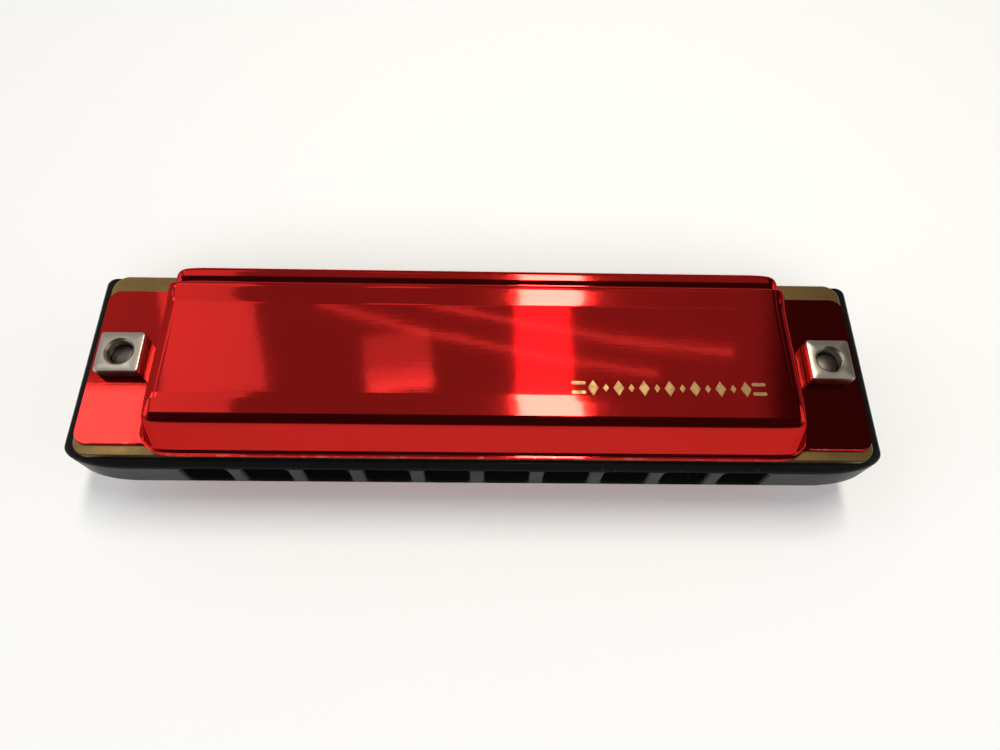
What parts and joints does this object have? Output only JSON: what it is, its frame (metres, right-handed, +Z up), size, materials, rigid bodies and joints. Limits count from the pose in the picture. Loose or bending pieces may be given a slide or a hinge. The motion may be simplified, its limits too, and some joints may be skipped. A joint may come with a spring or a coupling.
{
  "type": "diatonic harmonica",
  "caption": "Free-reed mouth organ: black comb with square mouth holes, brass reed plates with sprung reeds, red mirror-plated stamped covers bolted on at the ends.",
  "frame": {"origin": "under the middle of the instrument, on the plane the lower cover rests on", "axes": "+X along the instrument towards the lowest notes, -Y the mouth side, +Z up through the draw reed plate's cover"},
  "size_m": [0.102, 0.027, 0.02],
  "materials": {
    "cover_plating": "mirror plating tinted deep red",
    "comb_plastic": "gloss black",
    "plate_brass": "dull rolled sheet",
    "reed_brass": "brushed, milled thin in the middle",
    "fastener_steel": "warm nickel plating"
  },
  "bodies": {
    "harmonica": {"comb": "comb_plastic", "draw_reed_plate": "plate_brass", "blow_reed_plate": "plate_brass", "draw_reed_pad_1": "reed_brass", "draw_reed_pad_2": "reed_brass", "draw_reed_pad_3": "reed_brass", "draw_reed_pad_4": "reed_brass", "draw_reed_pad_5": "reed_brass", "draw_reed_pad_6": "reed_brass", "draw_reed_pad_7": "reed_brass", "draw_reed_pad_8": "reed_brass", "draw_reed_pad_9": "reed_brass", "draw_reed_pad_10": "reed_brass", "blow_reed_pad_1": "reed_brass", "blow_reed_pad_2": "reed_brass", "blow_reed_pad_3": "reed_brass", "blow_reed_pad_4": "reed_brass", "blow_reed_pad_5": "reed_brass", "blow_reed_pad_6": "reed_brass", "blow_reed_pad_7": "reed_brass", "blow_reed_pad_8": "reed_brass", "blow_reed_pad_9": "reed_brass", "blow_reed_pad_10": "reed_brass", "upper_cover": "cover_plating", "lower_cover": "cover_plating", "cover_bolt_left": "fastener_steel", "cover_bolt_right": "fastener_steel", "cover_nut_left": "fastener_steel", "cover_nut_right": "fastener_steel", "draw_plate_nail_1": "reed_brass", "draw_plate_nail_2": "reed_brass", "draw_plate_nail_3": "reed_brass", "draw_plate_nail_4": "reed_brass", "draw_plate_nail_5": "reed_brass", "blow_plate_nail_1": "reed_brass", "blow_plate_nail_2": "reed_brass", "blow_plate_nail_3": "reed_brass", "blow_plate_nail_4": "reed_brass", "blow_plate_nail_5": "reed_brass"},
    "draw_reed_1": {"draw_reed_1": "reed_brass"},
    "draw_reed_2": {"draw_reed_2": "reed_brass"},
    "draw_reed_3": {"draw_reed_3": "reed_brass"},
    "draw_reed_4": {"draw_reed_4": "reed_brass"},
    "draw_reed_5": {"draw_reed_5": "reed_brass"},
    "draw_reed_6": {"draw_reed_6": "reed_brass"},
    "draw_reed_7": {"draw_reed_7": "reed_brass"},
    "draw_reed_8": {"draw_reed_8": "reed_brass"},
    "draw_reed_9": {"draw_reed_9": "reed_brass"},
    "draw_reed_10": {"draw_reed_10": "reed_brass"},
    "blow_reed_1": {"blow_reed_1": "reed_brass"},
    "blow_reed_2": {"blow_reed_2": "reed_brass"},
    "blow_reed_3": {"blow_reed_3": "reed_brass"},
    "blow_reed_4": {"blow_reed_4": "reed_brass"},
    "blow_reed_5": {"blow_reed_5": "reed_brass"},
    "blow_reed_6": {"blow_reed_6": "reed_brass"},
    "blow_reed_7": {"blow_reed_7": "reed_brass"},
    "blow_reed_8": {"blow_reed_8": "reed_brass"},
    "blow_reed_9": {"blow_reed_9": "reed_brass"},
    "blow_reed_10": {"blow_reed_10": "reed_brass"}
  },
  "joints": [
    {"name": "draw_reed_1_flex", "type": "hinge", "parent": "harmonica", "child": "draw_reed_1", "pos_m": [0.03375, -0.0072, 0.01436], "axis": [1, 0, 0], "range_deg": [-4.5, 4.5], "stiffness_Nm_per_rad": 0.000338, "springref_deg": 0.57},
    {"name": "draw_reed_2_flex", "type": "hinge", "parent": "harmonica", "child": "draw_reed_2", "pos_m": [0.02625, -0.0072, 0.01436], "axis": [1, 0, 0], "range_deg": [-4.5, 4.5], "stiffness_Nm_per_rad": 0.000289, "springref_deg": 0.61},
    {"name": "draw_reed_3_flex", "type": "hinge", "parent": "harmonica", "child": "draw_reed_3", "pos_m": [0.01875, -0.0072, 0.01436], "axis": [1, 0, 0], "range_deg": [-4.5, 4.5], "stiffness_Nm_per_rad": 0.000247, "springref_deg": 0.64},
    {"name": "draw_reed_4_flex", "type": "hinge", "parent": "harmonica", "child": "draw_reed_4", "pos_m": [0.01125, -0.0072, 0.01436], "axis": [1, 0, 0], "range_deg": [-4.5, 4.5], "stiffness_Nm_per_rad": 0.000211, "springref_deg": 0.67},
    {"name": "draw_reed_5_flex", "type": "hinge", "parent": "harmonica", "child": "draw_reed_5", "pos_m": [0.00375, -0.0072, 0.01436], "axis": [1, 0, 0], "range_deg": [-4.5, 4.5], "stiffness_Nm_per_rad": 0.00018, "springref_deg": 0.71},
    {"name": "draw_reed_6_flex", "type": "hinge", "parent": "harmonica", "child": "draw_reed_6", "pos_m": [-0.00375, -0.0072, 0.01436], "axis": [1, 0, 0], "range_deg": [-4.5, 4.5], "stiffness_Nm_per_rad": 0.000154, "springref_deg": 0.75},
    {"name": "draw_reed_7_flex", "type": "hinge", "parent": "harmonica", "child": "draw_reed_7", "pos_m": [-0.01125, -0.0072, 0.01436], "axis": [1, 0, 0], "range_deg": [-4.5, 4.5], "stiffness_Nm_per_rad": 0.000132, "springref_deg": 0.78},
    {"name": "draw_reed_8_flex", "type": "hinge", "parent": "harmonica", "child": "draw_reed_8", "pos_m": [-0.01875, -0.0072, 0.01436], "axis": [1, 0, 0], "range_deg": [-4.5, 4.5], "stiffness_Nm_per_rad": 0.000113, "springref_deg": 0.83},
    {"name": "draw_reed_9_flex", "type": "hinge", "parent": "harmonica", "child": "draw_reed_9", "pos_m": [-0.02625, -0.0072, 0.01436], "axis": [1, 0, 0], "range_deg": [-4.5, 4.5], "stiffness_Nm_per_rad": 0.0000964, "springref_deg": 0.87},
    {"name": "draw_reed_10_flex", "type": "hinge", "parent": "harmonica", "child": "draw_reed_10", "pos_m": [-0.03375, -0.0072, 0.01436], "axis": [1, 0, 0], "range_deg": [-4.5, 4.5], "stiffness_Nm_per_rad": 0.0000824, "springref_deg": 0.92},
    {"name": "blow_reed_1_flex", "type": "hinge", "parent": "harmonica", "child": "blow_reed_1", "pos_m": [0.03375, 0.0057, 0.00691], "axis": [-1, 0, 0], "range_deg": [-4.5, 4.5], "stiffness_Nm_per_rad": 0.000338, "springref_deg": 0.57},
    {"name": "blow_reed_2_flex", "type": "hinge", "parent": "harmonica", "child": "blow_reed_2", "pos_m": [0.02625, 0.00493, 0.00691], "axis": [-1, 0, 0], "range_deg": [-4.5, 4.5], "stiffness_Nm_per_rad": 0.000289, "springref_deg": 0.61},
    {"name": "blow_reed_3_flex", "type": "hinge", "parent": "harmonica", "child": "blow_reed_3", "pos_m": [0.01875, 0.00419, 0.00691], "axis": [-1, 0, 0], "range_deg": [-4.5, 4.5], "stiffness_Nm_per_rad": 0.000247, "springref_deg": 0.64},
    {"name": "blow_reed_4_flex", "type": "hinge", "parent": "harmonica", "child": "blow_reed_4", "pos_m": [0.01125, 0.0035, 0.00691], "axis": [-1, 0, 0], "range_deg": [-4.5, 4.5], "stiffness_Nm_per_rad": 0.000211, "springref_deg": 0.67},
    {"name": "blow_reed_5_flex", "type": "hinge", "parent": "harmonica", "child": "blow_reed_5", "pos_m": [0.00375, 0.00283, 0.00691], "axis": [-1, 0, 0], "range_deg": [-4.5, 4.5], "stiffness_Nm_per_rad": 0.00018, "springref_deg": 0.71},
    {"name": "blow_reed_6_flex", "type": "hinge", "parent": "harmonica", "child": "blow_reed_6", "pos_m": [-0.00375, 0.00221, 0.00691], "axis": [-1, 0, 0], "range_deg": [-4.5, 4.5], "stiffness_Nm_per_rad": 0.000154, "springref_deg": 0.75},
    {"name": "blow_reed_7_flex", "type": "hinge", "parent": "harmonica", "child": "blow_reed_7", "pos_m": [-0.01125, 0.00161, 0.00691], "axis": [-1, 0, 0], "range_deg": [-4.5, 4.5], "stiffness_Nm_per_rad": 0.000132, "springref_deg": 0.78},
    {"name": "blow_reed_8_flex", "type": "hinge", "parent": "harmonica", "child": "blow_reed_8", "pos_m": [-0.01875, 0.00105, 0.00691], "axis": [-1, 0, 0], "range_deg": [-4.5, 4.5], "stiffness_Nm_per_rad": 0.000113, "springref_deg": 0.83},
    {"name": "blow_reed_9_flex", "type": "hinge", "parent": "harmonica", "child": "blow_reed_9", "pos_m": [-0.02625, 0.00051, 0.00691], "axis": [-1, 0, 0], "range_deg": [-4.5, 4.5], "stiffness_Nm_per_rad": 0.0000964, "springref_deg": 0.87},
    {"name": "blow_reed_10_flex", "type": "hinge", "parent": "harmonica", "child": "blow_reed_10", "pos_m": [-0.03375, 0, 0.00691], "axis": [-1, 0, 0], "range_deg": [-4.5, 4.5], "stiffness_Nm_per_rad": 0.0000824, "springref_deg": 0.92}
  ]
}
